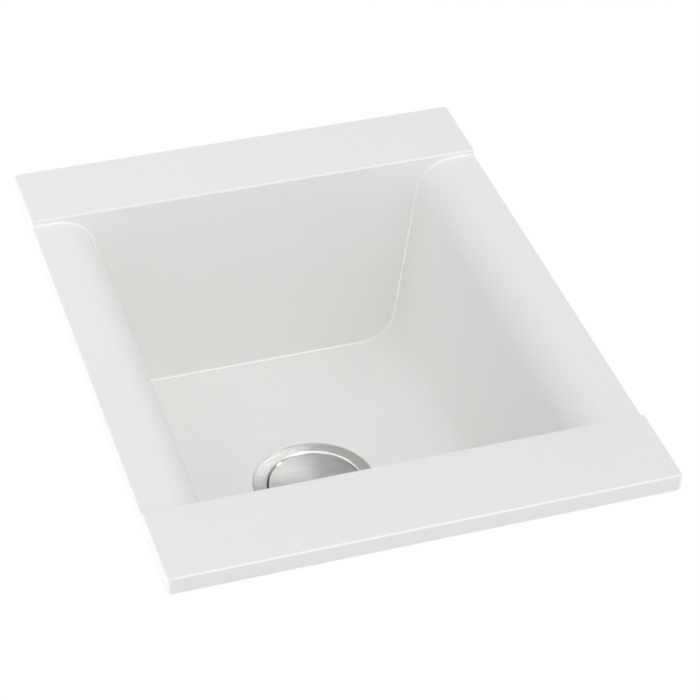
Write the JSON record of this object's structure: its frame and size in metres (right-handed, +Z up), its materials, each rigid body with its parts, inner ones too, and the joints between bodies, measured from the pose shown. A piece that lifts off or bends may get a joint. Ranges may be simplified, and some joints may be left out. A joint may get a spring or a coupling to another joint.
{
  "type": "kitchen sink",
  "caption": "Drop-in kitchen sink moulded in white granite composite, with a basket strainer waste, domed cover and worktop clamps.",
  "frame": {"origin": "middle of the worktop cut-out, on the worktop's top face, which the rim's foam seal rests on", "axes": "+Z up out of the worktop, +Y to the back of the sink, +X to the right"},
  "size_m": [0.42, 0.56, 0.3003],
  "materials": {
    "granite_composite": "matt white moulded composite of stone grains in resin",
    "satin_stainless": "satin brushed",
    "zinc_steel": "zinc plated",
    "brass": "turned",
    "grey_plastic": "moulded, fine matt",
    "white_plastic": "moulded",
    "seal_rubber": "matt",
    "seal_foam": "closed-cell foam"
  },
  "bodies": {
    "sink": {"sink_body": "granite_composite", "rim_seal": "seal_foam", "clamp_anchors": "white_plastic", "waste_flange": "satin_stainless", "flange_seal": "seal_rubber", "under_seal": "seal_rubber", "waste_body": "grey_plastic", "waste_insert": "brass", "waste_bolt": "brass"},
    "strainer": {"strainer_basket": "satin_stainless", "basket_post": "satin_stainless", "stopper_seal": "seal_rubber", "post_nut": "zinc_steel"},
    "cover": {"cover_cap": "satin_stainless", "cap_carrier": "grey_plastic"},
    "screw_1": {"clamp_screw_1": "zinc_steel"},
    "claw_1": {"clamp_claw_1": "zinc_steel"},
    "screw_2": {"clamp_screw_2": "zinc_steel"},
    "claw_2": {"clamp_claw_2": "zinc_steel"},
    "screw_3": {"clamp_screw_3": "zinc_steel"},
    "claw_3": {"clamp_claw_3": "zinc_steel"},
    "screw_4": {"clamp_screw_4": "zinc_steel"},
    "claw_4": {"clamp_claw_4": "zinc_steel"},
    "screw_5": {"clamp_screw_5": "zinc_steel"},
    "claw_5": {"clamp_claw_5": "zinc_steel"},
    "screw_6": {"clamp_screw_6": "zinc_steel"},
    "claw_6": {"clamp_claw_6": "zinc_steel"}
  },
  "joints": [
    {"name": "strainer_lift", "type": "slide", "parent": "sink", "child": "strainer", "axis": [0, 0, 1], "range_m": [0, 0.27]},
    {"name": "cover_lift", "type": "slide", "parent": "strainer", "child": "cover", "axis": [0, 0, 1], "range_m": [0, 0.22]},
    {"name": "clamp_1_draw", "type": "slide", "parent": "sink", "child": "screw_1", "axis": [0, 0, -1], "range_m": [0, 0.01]},
    {"name": "clamp_1_swing", "type": "hinge", "parent": "screw_1", "child": "claw_1", "pos_m": [0.18103, -0.15, -0.044], "axis": [0, 0, -1], "range_deg": [0, 90]},
    {"name": "clamp_2_draw", "type": "slide", "parent": "sink", "child": "screw_2", "axis": [0, 0, -1], "range_m": [0, 0.01]},
    {"name": "clamp_2_swing", "type": "hinge", "parent": "screw_2", "child": "claw_2", "pos_m": [0.18103, 0, -0.044], "axis": [0, 0, -1], "range_deg": [0, 90]},
    {"name": "clamp_3_draw", "type": "slide", "parent": "sink", "child": "screw_3", "axis": [0, 0, -1], "range_m": [0, 0.01]},
    {"name": "clamp_3_swing", "type": "hinge", "parent": "screw_3", "child": "claw_3", "pos_m": [0.18103, 0.15, -0.044], "axis": [0, 0, -1], "range_deg": [0, 90]},
    {"name": "clamp_4_draw", "type": "slide", "parent": "sink", "child": "screw_4", "axis": [0, 0, -1], "range_m": [0, 0.01]},
    {"name": "clamp_4_swing", "type": "hinge", "parent": "screw_4", "child": "claw_4", "pos_m": [-0.18103, -0.15, -0.044], "axis": [0, 0, 1], "range_deg": [0, 90]},
    {"name": "clamp_5_draw", "type": "slide", "parent": "sink", "child": "screw_5", "axis": [0, 0, -1], "range_m": [0, 0.01]},
    {"name": "clamp_5_swing", "type": "hinge", "parent": "screw_5", "child": "claw_5", "pos_m": [-0.18103, 0, -0.044], "axis": [0, 0, 1], "range_deg": [0, 90]},
    {"name": "clamp_6_draw", "type": "slide", "parent": "sink", "child": "screw_6", "axis": [0, 0, -1], "range_m": [0, 0.01]},
    {"name": "clamp_6_swing", "type": "hinge", "parent": "screw_6", "child": "claw_6", "pos_m": [-0.18103, 0.15, -0.044], "axis": [0, 0, 1], "range_deg": [0, 90]}
  ]
}
